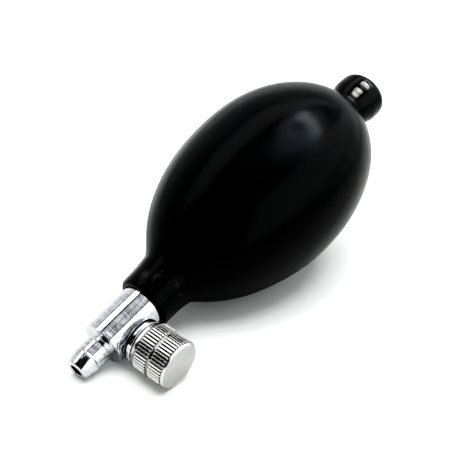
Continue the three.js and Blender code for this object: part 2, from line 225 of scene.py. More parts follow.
def spin(name, outline, where, material, angles=None, reshape=None):
    """Solid of revolution about a place's x axis. An outline that doesn't touch the axis closes
    on itself. reshape(radius, station, angle) gives the radius its detail."""
    angles = angles or even_angles(AROUND)
    points, rings, faces = [], [], []
    for radius, station in outline:
        ring = []
        for angle in angles if radius > 1e-6 else angles[:1]:
            r = reshape(radius, station, angle) if reshape else radius
            ring.append(len(points))
            points.append(where @ Vector((station, r * math.cos(angle), r * math.sin(angle))))
        rings.append(ring)
    on_axis = len(rings[0]) == 1
    pairs = list(zip(rings, rings[1:]))
    if not on_axis:
        pairs.append((rings[-1], rings[0]))
    for one, two in pairs:
        for i in range(len(angles)):
            j = (i + 1) % len(angles)
            if len(one) == 1:
                faces.append((one[0], two[i], two[j]))
            elif len(two) == 1:
                faces.append((one[i], two[0], one[j]))
            else:
                faces.append((one[i], two[i], two[j], one[j]))
    return new_piece(name, points, faces, material)


def tube_outline(inner, outer, back, front, edge):
    """Outline of a plain tube with all four edges eased."""
    return rounded([
        (outer, back, edge), (outer, front, edge), (inner, front, edge), (inner, back, edge),
    ])


def rod_outline(radius, back, front, edge):
    """Outline of a plain rod with eased edges."""
    return rounded([(0, back, 0), (radius, back, edge), (radius, front, edge), (0, front, 0)])


def combine(piece, other, operation):
    """Joins or cuts a piece by another, and deletes the other."""
    change = piece.modifiers.new("combine", "BOOLEAN")
    change.operation = operation
    change.solver = "EXACT"
    change.object = other
    seen = piece.evaluated_get(bpy.context.evaluated_depsgraph_get())
    result = bpy.data.meshes.new_from_object(seen)
    material = piece.data.materials[0]
    piece.modifiers.clear()
    piece.data = result
    bpy.data.objects.remove(other)
    settle(piece, material)


# ---------------------------------------------------------------- materials

def fresh_material(name):
    """Material with its node tree, its Principled node and its object coordinates."""
    material = bpy.data.materials.new(name)
    material.use_nodes = True
    nodes = material.node_tree.nodes
    shader = nodes["Principled BSDF"]
    where = nodes.new("ShaderNodeTexCoord").outputs["Object"]
    return material, nodes, material.node_tree.links, shader, where


def grain(nodes, links, where, scale, detail=4, roughness=0.55):
    """Noise whose cells are 1/scale metres across."""
    texture = nodes.new("ShaderNodeTexNoise")
    texture.inputs["Scale"].default_value = scale
    texture.inputs["Detail"].default_value = detail
    texture.inputs["Roughness"].default_value = roughness
    links.new(where, texture.inputs["Vector"])
    return texture.outputs["Fac"]


def spread(nodes, links, value, low, high, to_low, to_high):
    """Maps a value from one span to another, smoothly."""
    change = nodes.new("ShaderNodeMapRange")
    change.interpolation_type = "SMOOTHSTEP"
    for key, number in zip(("From Min", "From Max", "To Min", "To Max"), (low, high, to_low, to_high)):
        change.inputs[key].default_value = number
    links.new(value, change.inputs["Value"])
    return change.outputs["Result"]


def mix_colour(nodes, links, factor, one, two):
    """Mix of two colours, each a tuple or a socket."""
    blend = nodes.new("ShaderNodeMix")
    blend.data_type = "RGBA"
    links.new(factor, blend.inputs["Factor"])
    for socket, colour in zip((blend.inputs["A"], blend.inputs["B"]), (one, two)):
        if isinstance(colour, tuple):
            socket.default_value = (*colour, 1)
        else:
            links.new(colour, socket)
    return blend.outputs["Result"]


def arithmetic(nodes, links, operation, one, two=None):
    """Math node on sockets or numbers."""
    node = nodes.new("ShaderNodeMath")
    node.operation = operation
    for socket, value in zip(node.inputs, (one, two)):
        if isinstance(value, (int, float)):
            socket.default_value = value
        elif value is not None:
            links.new(value, socket)
    return node.outputs[0]


def bump(nodes, links, height, distance, strength, below=None):
    """Bump from a height socket, on top of another normal if there is one."""
    node = nodes.new("ShaderNodeBump")
    node.inputs["Distance"].default_value = distance
    node.inputs["Strength"].default_value = strength
    links.new(height, node.inputs["Height"])
    if below:
        links.new(below, node.inputs["Normal"])
    return node.outputs["Normal"]


def from_axis(nodes, links, where, axis_place):
    """Distance in metres from a place's x axis."""
    origin = axis_place.translation
    direction = axis_place.to_3x3().col[0].normalized()
    shift = nodes.new("ShaderNodeVectorMath")
    shift.operation = "SUBTRACT"
    shift.inputs[1].default_value = origin
    links.new(where, shift.inputs[0])
    across = nodes.new("ShaderNodeVectorMath")
    across.operation = "CROSS_PRODUCT"
    across.inputs[1].default_value = direction
    links.new(shift.outputs[0], across.inputs[0])
    length = nodes.new("ShaderNodeVectorMath")
    length.operation = "LENGTH"
    links.new(across.outputs[0], length.inputs[0])
    return length.outputs["Value"]


def rubber_material(name, dark, light, rough_low, rough_high, specular):
    """Moulded rubber: mottled black, fine skin grain, a little dust in the pits."""
    material, nodes, links, shader, where = fresh_material(name)
    clouds = grain(nodes, links, where, 70)
    skin = grain(nodes, links, where, 2600, 6, 0.6)
    specks = grain(nodes, links, where, 900, 3, 0.7)
    dust = spread(nodes, links, specks, 0.66, 0.74, 0.0, 0.5)
    base = mix_colour(nodes, links, clouds, dark, light)
    dusty = mix_colour(nodes, links, dust, base, (0.006, 0.006, 0.006))
    worn = nodes.new("ShaderNodeAttribute")
    worn.attribute_name = "worn"
    blotches = spread(nodes, links, grain(nodes, links, where, 260, 2), 0.60, 0.72, 0.0, 0.8)
    rubbed = arithmetic(nodes, links, "MULTIPLY", blotches, worn.outputs["Fac"])
    faded = mix_colour(nodes, links, rubbed, dusty, (0.012, 0.012, 0.0125))
    links.new(faded, shader.inputs["Base Color"])
    rough = spread(nodes, links, clouds, 0.35, 0.65, rough_low, rough_high)
    polish = nodes.new("ShaderNodeAttribute")
    polish.attribute_name = "polish"
    kept = arithmetic(nodes, links, "MULTIPLY_ADD", polish.outputs["Fac"], -0.65)
    kept.node.inputs[2].default_value = 1.0
    links.new(arithmetic(nodes, links, "MULTIPLY", rough, kept), shader.inputs["Roughness"])
    shine = arithmetic(nodes, links, "MULTIPLY_ADD", polish.outputs["Fac"], 0.06)
    shine.node.inputs[2].default_value = specular
    links.new(shine, shader.inputs["Specular IOR Level"])
    ripple = bump(nodes, links, clouds, 0.0004, 0.25)
    links.new(bump(nodes, links, skin, 0.00002, 0.35, ripple), shader.inputs["Normal"])
    return material


def streak_grain(nodes, links, where, axis_place, along, across):
    """Noise drawn out round a place's x axis, like the marks of a lathe tool."""
    parts = nodes.new("ShaderNodeCombineXYZ")
    for column, scale, socket in zip(axis_place.to_3x3().col, (along, across, across), parts.inputs):
        spot = nodes.new("ShaderNodeVectorMath")
        spot.operation = "DOT_PRODUCT"
        spot.inputs[1].default_value = column.normalized() * scale
        links.new(where, spot.inputs[0])
        links.new(spot.outputs["Value"], socket)
    return grain(nodes, links, parts.outputs["Vector"], 1.0, 3, 0.6)


def metal_material(name, colour, dark, rough, turned_on=None, turning=0.0, wave=0.15, pits=0.3,
                   streaks=0.0):
    """Plated or bare metal: uneven polish, small pits, darker crevices, narrow bores painted dark as
    shade, turning marks and streaks about an axis, and edges eased in the shading."""
    material, nodes, links, shader, where = fresh_material(name)
    shader.inputs["Metallic"].default_value = 1
    smears = grain(nodes, links, where, 160, 5)
    fine = grain(nodes, links, where, 2400, 3)
    edges = nodes.new("ShaderNodeNewGeometry").outputs["Pointiness"]
    crevice = spread(nodes, links, edges, 0.42, 0.5, 1.0, 0.0)
    bore = spread(nodes, links, from_axis(nodes, links, where, BULB), 0.0019, 0.0021, 1.0, 0.0)
    marks = streak_grain(nodes, links, where, turned_on or BULB, 1500, 420)
    marked = spread(nodes, links, marks, 0.40, 0.64, 0.0, streaks)
    shade = mix_colour(nodes, links, marked, colour, dark)
    shade = mix_colour(nodes, links, crevice, shade, dark)
    # Painted shade: a point attribute darkens the knurl's grooves and the boss's disc to near black.
    painted_shade = nodes.new("ShaderNodeAttribute")
    painted_shade.attribute_name = "painted_shade"
    shade = mix_colour(nodes, links, painted_shade.outputs["Fac"], shade, (0.02, 0.02, 0.02))
    # Painted shade: near black inside bores narrower than about 2 mm round the bulb's axis.
    shade = mix_colour(nodes, links, bore, shade, (0.01, 0.01, 0.011))
    links.new(shade, shader.inputs["Base Color"])
    links.new(spread(nodes, links, smears, 0.3, 0.7, *rough), shader.inputs["Roughness"])
    normal = bump(nodes, links, smears, 0.0002, wave)
    normal = bump(nodes, links, fine, 0.00001, pits, normal)
    normal = bump(nodes, links, marks, 0.000016, streaks, normal)
    if turned_on is not None:
        radius = from_axis(nodes, links, where, turned_on)
        rings = arithmetic(nodes, links, "SINE", arithmetic(nodes, links, "MULTIPLY", radius, 42000.0))
        normal = bump(nodes, links, rings, 0.00001, turning, normal)
    soft_edge = nodes.new("ShaderNodeBevel")
    soft_edge.samples = 6
    soft_edge.inputs["Radius"].default_value = 0.0001
    links.new(normal, soft_edge.inputs["Normal"])
    links.new(soft_edge.outputs["Normal"], shader.inputs["Normal"])
    return material


def nylon_material(name):
    """Moulded white nylon, slightly waxy."""
    material, nodes, links, shader, where = fresh_material(name)
    clouds = grain(nodes, links, where, 250)
    tint = mix_colour(nodes, links, clouds, (0.78, 0.76, 0.70), (0.86, 0.85, 0.80))
    links.new(tint, shader.inputs["Base Color"])
    links.new(spread(nodes, links, clouds, 0.3, 0.7, 0.35, 0.5), shader.inputs["Roughness"])
    shader.inputs["Subsurface Weight"].default_value = 0.1
    shader.inputs["Subsurface Radius"].default_value = (0.001, 0.001, 0.001)
    fine = grain(nodes, links, where, 2500)
    links.new(bump(nodes, links, fine, 0.00001, 0.3), shader.inputs["Normal"])
    return material


bulb_rubber = rubber_material(
    "bulb_rubber", (0.0008, 0.0009, 0.0010), (0.0016, 0.0017, 0.0019), 0.17, 0.24, 0.06)
seal_rubber = rubber_material(
    "seal_rubber", (0.012, 0.012, 0.012), (0.02, 0.02, 0.021), 0.5, 0.65, 0.4)
chrome = metal_material(
    "chrome", (0.86, 0.89, 0.92), (0.45, 0.47, 0.50), (0.03, 0.08), BULB, 0.05, 0.08, 0.4, 0.7)
nickel = metal_material(
    "nickel", (0.88, 0.87, 0.84), (0.30, 0.30, 0.29), (0.08, 0.14), None, 0.0, 0.06, 0.25, 0.1)
turned_nickel = metal_material(
    "turned_nickel", (0.60, 0.60, 0.585), (0.44, 0.44, 0.43), (0.34, 0.46), SCREW, 0.3, 0.5, 0.8, 0.3)
steel = metal_material(
    "steel", (0.62, 0.63, 0.65), (0.25, 0.25, 0.25), (0.16, 0.3), SCREW, 0.15, 0.15, 0.3, 0.3)
brass = metal_material(
    "brass", (0.64, 0.47, 0.23), (0.25, 0.17, 0.08), (0.2, 0.35), BULB, 0.2, 0.15, 0.3, 0.4)
nylon = nylon_material("nylon")


# ---------------------------------------------------------------- rubber bulb

def egg_radius(station):
    half = FRONT_HALF_LENGTH if station > 0 else REAR_HALF_LENGTH
    share = min(1.0, abs(station) / half)
    return BELLY_RADIUS * math.sqrt(1 - share * share)


def neck_radius(station):
    """Front neck: a sleeve that flares out into the egg. Rear neck: a waist, then a barrel."""
    if station > 0:
        past = max(0.0, station - NECK_FLARE_START)
        return FRONT_NECK_RADIUS + NECK_FLARE * math.exp(-past / NECK_FLARE_LENGTH)
    past = (REAR_WAIST_STATION - station) / (REAR_WAIST_STATION - REAR_BARREL_STATION)
    share = min(1.0, max(0.0, past))
    swell = share * share * (3 - 2 * share)
    return REAR_WAIST_RADIUS + (REAR_NECK_RADIUS - REAR_WAIST_RADIUS) * swell


def outside_radius(station):
    egg, neck = egg_radius(station), neck_radius(station)
    return (egg ** NECK_BLEND_POWER + neck ** NECK_BLEND_POWER) ** (1 / NECK_BLEND_POWER)


def inside_radius(station):
    """The bulb's hollow, blended into the bore of the neck on that side."""
    bore = FRONT_BORE if station > 0 else REAR_BORE
    hollow = max(0.0, egg_radius(station * CAVITY_SHRINK) - WALL)
    return (hollow ** CAVITY_BLEND_POWER + bore ** CAVITY_BLEND_POWER) ** (1 / CAVITY_BLEND_POWER)


def stations_between(back, front, step):
    count = round((front - back) / step)
    return [back + (front - back) * i / count for i in range(count + 1)]


def bulb_outline():
    """Outside from the rear mouth to the front mouth, then inside back again."""
    rear_edge = REAR_NECK_END + SHOULDER
    lip_centre = FRONT_NECK_END - MOUTH_LIP
    mouth_radius = outside_radius(lip_centre)
    shoulder_turns = [math.radians(7.5 * i) for i in range(2, 12)]
    lip_turns = [math.radians(15 * i) for i in range(1, 7)]
    outline = [
        (REAR_NECK_RADIUS - SHOULDER * (1 - math.sin(turn)), rear_edge - SHOULDER * math.cos(turn))
        for turn in shoulder_turns
    ]
    outline += [(outside_radius(s), s) for s in stations_between(rear_edge, lip_centre, SKIN_STEP)[1:]]
    outline += [
        (mouth_radius - MOUTH_LIP * (1 - math.cos(turn)), lip_centre + MOUTH_LIP * math.sin(turn))
        for turn in lip_turns
    ]
    outline += [(FRONT_BORE + MOUTH_EASE, FRONT_NECK_END), (FRONT_BORE, FRONT_NECK_END - MOUTH_EASE)]
    cavity = stations_between(REAR_NECK_END + MOUTH_EASE, FRONT_NECK_END - 2 * MOUTH_EASE, CAVITY_STEP)
    outline += [(inside_radius(station), station) for station in reversed(cavity)]
    outline.append((REAR_BORE + MOUTH_EASE, REAR_NECK_END))
    return outline


def drift(station):
    """Sideways drift of the skin's centre line, in millimetres: rubber never lies quite straight."""
    if station < 0:
        return REAR_DRIFT * (station / REAR_NECK_END) ** 1.6
    return -FRONT_DRIFT * math.sin(math.pi * station / DRIFT_SPAN) ** 2


def drift_shift(station):
    """Drift as a vector, square to the bulb's axis, sideways and a little down."""
    return (SIDE * 0.868 - UP * 0.497) * drift(station) * MM


def seam_angles():
    """Even angles, crowded round the mould's parting line on both sides."""
    crowd = [math.radians(d) for d in (-1.2, -0.8, -0.5, -0.25, 0, 0.25, 0.5, 0.8, 1.2)]
    angles = set()
    for line in (SEAM_ANGLE, SEAM_ANGLE + math.pi):
        angles.update((line + turn) % (2 * math.pi) for turn in crowd)
        angles.update((line + math.radians(2.25 * i + 2.25)) % (2 * math.pi) for i in range(79))
    return sorted(angles)


def bulb_detail(radius, station, angle):
    """The moulded skin: slightly uneven, with a fine flash line where the mould halves met."""
    direction = Vector((station / 22, math.cos(angle), math.sin(angle)))
    uneven = UNEVEN * noise.noise(direction * 1.3) + UNEVEN_FINE * noise.noise(direction * 4.1)
    fade = min(1.0, max(0.0, (radius - 8.5) / 6))
    turn = min(abs((angle - SEAM_ANGLE + math.pi / 2) % math.pi - math.pi / 2), math.pi)
    outer = radius > outside_radius(station) - 0.5 * WALL
    if not outer:
        return radius + uneven * fade
    flash = SEAM_HEIGHT * math.exp(-(turn * radius / SEAM_WIDTH) ** 2)
    neck = min(1.0, max(0.0, (station - 44) / 5), max(0.0, (FRONT_NECK_END - station) / 2))
    return radius + uneven * fade + flash + NECK_LEAN * neck * math.cos(angle - SEAM_ANGLE)


def build_bulb():
    skin = spin("bulb_skin", bulb_outline(), BULB, bulb_rubber, seam_angles(), bulb_detail)
    polish = skin.data.attributes.new("polish", "FLOAT", "POINT")
    worn = skin.data.attributes.new("worn", "FLOAT", "POINT")
    to_bulb = BULB.inverted()
    for vertex, shine, wear in zip(skin.data.vertices, polish.data, worn.data):
        station = (to_bulb @ vertex.co).x
        shine.value = min(1.0, max(0.0, (REAR_WAIST_STATION - station) / 2))
        wear.value = min(1.0, max(0.0, (station - 46) / 3))
        vertex.co += drift_shift(station)
    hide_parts("rubber_bulb", "squeeze_wall")
    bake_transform(skin)


# ---------------------------------------------------------------- valve body and nipple

def build_valve_body():
    outside = rod_outline(BODY_RADIUS, BODY_BACK, BODY_FRONT, 0.04)
    body = spin("valve_body_shell", outside, BULB, chrome)
    boss = rounded([
        (0, 0.5, 0), (BOSS_NECK_RADIUS, 0.5, 0), (BOSS_NECK_RADIUS, BOSS_BACK, 0.3),
        (BOSS_RADIUS, BOSS_BACK, 0.25), (BOSS_RADIUS, BOSS_SHADE_END, 0),
        (BOSS_RADIUS, BOSS_SHADE_END + 0.05, 0), (BOSS_RADIUS, BOSS_END, 0.25), (0, BOSS_END, 0),
    ])
    combine(body, spin("boss", boss, SCREW, chrome), "UNION")
    cuts = [
        (rod_outline(BODY_BORE, BODY_BACK - 2, CHAMBER_BACK, 0), BULB),
        (rod_outline(CHAMBER_RADIUS, CHAMBER_BACK - 1.5, SHANK_BACK + 0.3, 0), BULB),
        (rod_outline(BODY_BORE, SHANK_BACK - 0.3, BODY_FRONT + 1, 0), BULB),
        (rod_outline(GASKET_SEAT_RADIUS, BODY_FRONT - GASKET_SEAT_DEPTH, BODY_FRONT + 2, 0), BULB),
        (rod_outline(BOSS_BORE, BOSS_BORE_BACK, BOSS_END + 1, 0), SCREW),
        (rod_outline(AIR_HOLE_RADIUS, 1, 4, 0), SCREW),
    ]
    for outline, where in cuts:
        combine(body, spin("bore", outline, where, chrome, even_angles(96)), "DIFFERENCE")
    paint_boss_shade(body)
    return attach(body, "pump", "chrome", "valve_body")


def paint_boss_shade(body):
    """Painted shade, near black, on the faces of the boss's disc and the back of its rim, where the
    gap between body and knob lies in shade.
    """
    painted_shade = body.data.attributes.new("painted_shade", "FLOAT", "POINT")
    to_screw = SCREW.inverted()
    for vertex, value in zip(body.data.vertices, painted_shade.data):
        station, y, z = to_screw @ vertex.co
        radius = math.hypot(y, z)
        on_side = BOSS_BACK + 0.2 < station < BOSS_SHADE_END + 0.02 and radius > BOSS_RADIUS - 0.3
        on_back = station > BOSS_BACK - 0.1 and radius < BOSS_RADIUS - 0.5
        value.value = 1.0 if on_side or on_back else 0.0


def build_nipple():
    shank = BODY_BORE - 0.3
    outline = rounded([
        (shank, SHANK_BACK, 0.2),
        (shank, FLANGE_BACK, 0.05),
        (BODY_RADIUS, FLANGE_BACK, 0.03),
        (BODY_RADIUS, FLANGE_FRONT, 0.12),
        (NOTCH_RADIUS, FLANGE_FRONT, 0.3),
        (NOTCH_RADIUS, NOTCH_FRONT, 0.2),
        (COLLAR_BARB_RADIUS, COLLAR_BARB_BASE, 0.15),
        (COLLAR_BARB_RADIUS - 0.22, BARB_BASE - 0.45, 0.06),
        (NOTCH_RADIUS, BARB_BASE - 0.15, 0.04),
        (BARB_BASE_RADIUS, BARB_BASE + 0.1, 0.12),
        (BARB_TIP_RADIUS, BARB_TIP, 0.6),
        (NIPPLE_BORE, BARB_TIP, 0.3),
        (NIPPLE_BORE, SHANK_BACK, 0.15),
    ])
    nipple = spin("hose_nipple_spigot", outline, BULB, chrome)
    return attach(nipple, "pump", "chrome", "hose_nipple")


# ---------------------------------------------------------------- release knob

def rib_share(station):
    """1 along a knurled band, falling to 0 over its chamfered ends."""
    ease = 0.28
    shares = [min(station - back, front - station) / ease for back, front in KNOB_BANDS]
    return min(1.0, max(0.0, max(shares)))


def knob_detail(radius, station, angle):
    """Straight knurl: flat-topped ribs with V grooves between them."""
    if radius != KNOB_ROOT:
        return radius
    wave = 0.5 + 0.5 * math.cos(KNOB_RIBS * angle)
    rib = min(1.0, max(0.0, (wave - 0.1) / 0.55))
    return radius + (KNOB_RADIUS - KNOB_ROOT) * rib * rib_share(station)


def paint_groove_shade(knob):
    """Painted shade in the knurl's grooves: their depth, from 0 on the ribs to 1 at their roots,
    darkens the material.
    """
    painted_shade = knob.data.attributes.new("painted_shade", "FLOAT", "POINT")
    to_screw = SCREW.inverted()
    for vertex, value in zip(knob.data.vertices, painted_shade.data):
        station, y, z = to_screw @ vertex.co
        depth = (KNOB_RADIUS - 0.08 - math.hypot(y, z)) / 0.3
        knurled = any(back <= station <= front for back, front in KNOB_BANDS)
        value.value = min(1.0, max(0.0, depth)) if knurled else 0.0


def build_knob():
    bevel_back = KNOB_BANDS[1][1]
    corners = [
        (KNOB_HUB_RADIUS, KNOB_BACK, 0.15),
        (KNOB_SKIRT, KNOB_BACK, 0.5),
        (KNOB_SKIRT, KNOB_BANDS[0][0], 0),
    ]
    for back, front in KNOB_BANDS:
        corners.append((KNOB_GROOVE, back, 0))
        corners += [(KNOB_ROOT, station, 0) for station in stations_between(back, front, 0.12)]
        corners.append((KNOB_GROOVE, front, 0))
    corners += [
        (KNOB_GROOVE + 0.35, bevel_back + 0.12, 0.05),
        (KNOB_FACE + 0.05, KNOB_FRONT, 0.1),
        (KNOB_FACE - 0.2, KNOB_FRONT, 0.04),
        (KNOB_FACE - 0.22, KNOB_FRONT - KNOB_RECESS, 0.1),
        (KNOB_HUB_RADIUS, KNOB_FRONT - KNOB_RECESS, 0.1),
    ]
    outline = rounded(corners)
    knob = spin("knob_knurled_grip", outline, SCREW, nickel, even_angles(KNOB_RIBS * 10), knob_detail)
    settle(knob, nickel, 50)
    paint_groove_shade(knob)
    attach(knob, "release_knob", "nickel", "knob_grip")
    disc = rod_outline(KNOB_FACE - 0.28, KNOB_FRONT - 1.0, KNOB_FRONT, 0.06)
    cap = spin("knob_end_disc", disc, SCREW, turned_nickel)
    attach(cap, "release_knob", "nickel", "knob_cap")


# ---------------------------------------------------------------- inner pieces

EASE = 0.08
SPRING_COILS = 5
SPRING_STEPS = 40
SPRING_BACK = 51.68
SPRING_FRONT = 56.72
SPRING_RADIUS = 1.9
SPRING_CLOSE_PITCH = 0.6
WIRE_RADIUS = 0.26
WIRE_SIDES = 12
BALL_RADIUS = 2.3
BALL_STATION = 48.8
STEM_ROOT_RADIUS = 1.6
STEM_RADIUS = 1.9
STEM_BACK = 5.9
STEM_FRONT = 18.6
THREAD_PITCH = 0.75
THREAD_DEPTH = 0.2
GRILLE_ENDS = (-51.4, -50.3)
SCREEN_ENDS = (-49.9, -49.6)
CAGE_ENDS = (-45.3, -43.6)
CAGE_BAR_STATION = -44.4

# Plain turned pieces: name, node, body, slot, material, place, and the corners of the outline.
TURNED = (
    ("outlet_seat_ring", "outlet_seat", "pump", "brass", brass, BULB,
     ((4.5, 45.2, EASE), (4.5, 47.6, EASE), (2.3, 47.6, EASE), (1.4, 46.7, EASE), (1.4, 45.2, EASE))),
    ("spring_retainer_ring", "spring_retainer", "pump", "brass", brass, BULB,
     ((4.5, 58.6, EASE), (4.5, 60.2, EASE), (1.4, 60.2, 0.2), (1.4, 58.6, 0.2))),
    ("nipple_sealing_ring", "nipple_gasket", "pump", "seal_rubber", seal_rubber, BULB,
     ((5.3, 73.24, 0.2), (5.3, 73.7, 0.2), (4.64, 73.7, 0.2), (4.64, 73.24, 0.2))),
    ("release_seat_ring", "release_seat", "pump", "brass", brass, SCREW,
     ((2.9, 3.2, EASE), (2.9, 4.5, EASE), (1.5, 4.5, EASE), (0.9, 3.9, EASE), (0.9, 3.2, EASE))),
    ("gland_packing", "gland_washer", "pump", "seal_rubber", seal_rubber, SCREW,
     ((2.7, 6.2, 0.2), (2.7, 6.7, 0.2), (1.98, 6.7, 0.2), (1.98, 6.2, 0.2))),
    ("gland_sleeve", "gland_bush", "pump", "brass", brass, SCREW,
     ((2.9, 7.0, EASE), (2.9, 8.5, EASE), (1.98, 8.5, EASE), (1.98, 7.0, EASE))),
    ("seal_tip_pad", "seal_pad", "seal_tip", "seal_rubber", seal_rubber, SCREW,
     ((0, 4.7, 0), (1.1, 4.7, 0.1), (1.5, 5.1, 0.15), (1.5, 5.7, 0.1), (0, 5.7, 0))),
    ("screw_stop_collar", "stem_collar", "release_knob", "steel", steel, SCREW,
     ((2.6, 8.8, 0.2), (2.6, 9.7, EASE), (1.98, 9.7, EASE), (1.98, 8.8, EASE))),
    ("intake_valve_housing", "intake_housing", "pump", "brass", brass, BULB,
     ((4.9, -51.6, 0.2), (4.9, -40.2, 0.2), (4.0, -40.2, EASE), (4.0, -51.6, 0.2))),
    ("intake_valve_seat", "intake_seat", "pump", "brass", brass, BULB,
     ((3.9, -49.2, EASE), (3.9, -47.85, EASE), (2.9, -47.85, 0), (2.5, -47.6, EASE),
      (1.9, -47.6, EASE), (1.9, -49.2, EASE))),
    ("intake_flap_disc", "intake_disc", "intake_flap", "seal_rubber", seal_rubber, BULB,
     ((0, -47.5, 0), (3.0, -47.5, 0.1), (3.0, -46.9, 0.2), (0, -46.9, 0))),
)


def follow_drift(piece):
    """Carries a piece of the rear neck sideways with the rubber round it."""
    to_bulb = BULB.inverted()
    for vertex in piece.data.vertices:
        vertex.co += drift_shift((to_bulb @ vertex.co).x)


def build_turned():
    for name, node, body, slot, material, where, corners in TURNED:
        piece = spin(name, rounded(list(corners)), where, material, even_angles(72))
        if node.startswith("intake"):
            follow_drift(piece)
        attach(piece, body, slot, node)


def build_ball():
    outline = [(0, BALL_STATION - BALL_RADIUS)]
    for i in range(1, 32):
        turn = math.pi * i / 32
        outline.append((BALL_RADIUS * math.sin(turn), BALL_STATION - BALL_RADIUS * math.cos(turn)))
    outline.append((0, BALL_STATION + BALL_RADIUS))
    ball = spin("check_ball", outline, BULB, steel, even_angles(64))
    attach(ball, "outlet_poppet", "steel", "outlet_ball")


def spring_station(share):
    """Station along the spring: one close coil at each end, open coils between."""
    coil = share * SPRING_COILS
    if coil < 1:
        return SPRING_BACK + SPRING_CLOSE_PITCH * coil
    if coil > SPRING_COILS - 1:
        return SPRING_FRONT - SPRING_CLOSE_PITCH * (SPRING_COILS - coil)
    open_length = SPRING_FRONT - SPRING_BACK - 2 * SPRING_CLOSE_PITCH
    return SPRING_BACK + SPRING_CLOSE_PITCH + open_length * (coil - 1) / (SPRING_COILS - 2)


def build_spring():
    count = SPRING_COILS * SPRING_STEPS
    points, faces = [], []
    for i in range(count + 1):
        turn = 2 * math.pi * SPRING_COILS * i / count
        middle = spring_station(i / count)
        for around in even_angles(WIRE_SIDES):
            r = SPRING_RADIUS + WIRE_RADIUS * math.cos(around)
            station = middle + WIRE_RADIUS * math.sin(around)
            points.append(BULB @ Vector((station, r * math.cos(turn), r * math.sin(turn))))
    for i in range(count):
        one, two = i * WIRE_SIDES, (i + 1) * WIRE_SIDES
        for k in range(WIRE_SIDES):
            j = (k + 1) % WIRE_SIDES
            faces.append((one + k, one + j, two + j, two + k))
    faces.append(tuple(range(WIRE_SIDES)))
    faces.append(tuple(range(len(points) - WIRE_SIDES, len(points))))
    spring = new_piece("check_spring", points, faces, steel)
    attach(spring, "outlet_poppet", "steel", "outlet_spring")


def build_screw():
    """Release screw with a helical thread where it runs in the gland."""
    thread = stations_between(7.4, 8.9, 0.04)
    corners = [
        (0, STEM_BACK, 0), (STEM_ROOT_RADIUS, STEM_BACK, 0.15),
        (STEM_ROOT_RADIUS, thread[0] - 0.3, 0.05), (STEM_RADIUS, thread[0] - 0.1, 0),
    ]
    corners += [(STEM_RADIUS, station, 0) for station in thread]
    corners += [(STEM_RADIUS, STEM_FRONT, 0.25), (0, STEM_FRONT, 0)]

    def threaded(radius, station, angle):
        if not thread[0] <= station <= thread[-1]:
            return radius
        phase = (station / THREAD_PITCH - angle / (2 * math.pi)) % 1
        return radius - THREAD_DEPTH * abs(2 * phase - 1)

    screw = spin("release_screw_stem", rounded(corners), SCREW, steel, even_angles(72), threaded)
    attach(screw, "release_knob", "steel", "release_screw")


def drill(piece, radius, back, front, spots):
    """Cuts a round hole along the bulb's axis at each (y, z) spot."""
    for y, z in spots:
        beside = BULB @ Matrix.Translation((0, y, z))
        hole = rod_outline(radius, back - 1, front + 1, 0)
        combine(piece, spin("hole", hole, beside, brass, even_angles(24)), "DIFFERENCE")


def ring_of_spots(ring, count):
    angles = even_angles(count)
    return [(ring * math.cos(angle), ring * math.sin(angle)) for angle in angles]


def build_intake_discs():
    """Intake grille, dust screen and the cage that keeps the flap in."""
    disc = rod_outline(3.9, *GRILLE_ENDS, 0.12)
    grille = spin("intake_grille_disc", disc, BULB, brass, even_angles(64))
    drill(grille, 0.7, *GRILLE_ENDS, [(0, 0)] + ring_of_spots(2.4, 6))
    disc = rod_outline(3.7, *SCREEN_ENDS, 0.05)
    screen = spin("intake_dust_screen", disc, BULB, steel, even_angles(64))
    drill(screen, 0.35, *SCREEN_ENDS, [(0, 0)] + ring_of_spots(1.2, 6) + ring_of_spots(2.4, 12))
    ring = tube_outline(2.4, 3.9, *CAGE_ENDS, 0.15)
    cage = spin("intake_flap_cage", ring, BULB, nylon, even_angles(64))
    for quarter in (0, 1):
        turned = BULB @ Matrix.Rotation(quarter * math.pi / 2, 4, "X")
        middle = turned @ Matrix.Translation((CAGE_BAR_STATION, 0, 0))
        across = middle @ Matrix.Rotation(math.pi / 2, 4, "Z")
        bar = spin("bar", rod_outline(0.5, -3, 3, 0.05), across, nylon, even_angles(24))
        combine(cage, bar, "UNION")
    for piece, slot, node in (
        (grille, "brass", "intake_grille"),
        (screen, "steel", "intake_screen"),
        (cage, "white_nylon", "intake_cage"),
    ):
        follow_drift(piece)
        attach(piece, "pump", slot, node)


build_bulb()
build_valve_body()
build_nipple()
build_knob()
build_turned()
build_ball()
build_spring()
build_screw()
build_intake_discs()


# ---------------------------------------------------------------- studio

# Bands of the room that shiny metal mirrors: degrees round the bulb's axis, level, and how far
# fine lines across the band break it up.
ROOM_BANDS = (
    (-180, 1.0, 0), (-130, 0.85, 0), (-98, 0.52, 0), (-86, 0.58, 0), (-84, 0.05, 0),
    (-80, 0.05, 0), (-77, 1.8, 0), (-54, 1.8, 0), (-52, 0.05, 0), (-45, 0.06, 0), (-42, 0.60, 1),
    (-24, 0.70, 1), (-22, 0.25, 1), (-18, 0.25, 1), (-16, 0.70, 1), (2, 0.60, 1), (5, 0.05, 0),
    (9, 0.05, 0), (12, 1.8, 0), (50, 1.8, 0), (56, 1.0, 0), (120, 1.2, 0), (180, 1.0, 0),
)

# Fine lines across the broken bands, per unit of the cosine to the bulb's axis.
ROOM_LINES = 75.0

# Bright windows that only glossy surfaces see: centre, cosines of the bright and the dim rim,
# how far clouds veil the window, and colour.
WINDOWS = (
    ((-0.45, 0.20, 0.82), 0.992, 0.89, 0.75, (5.7, 6.8, 7.5)),
    ((-0.585, -0.02, 0.81), 0.9985, 0.993, 0.2, (11.0, 11.8, 12.0)),
    ((-0.585, 0.13, 0.79), 0.9985, 0.992, 0.2, (11.0, 11.8, 12.0)),
    ((-0.575, 0.28, 0.76), 0.9985, 0.993, 0.2, (10.0, 10.8, 11.0)),
)

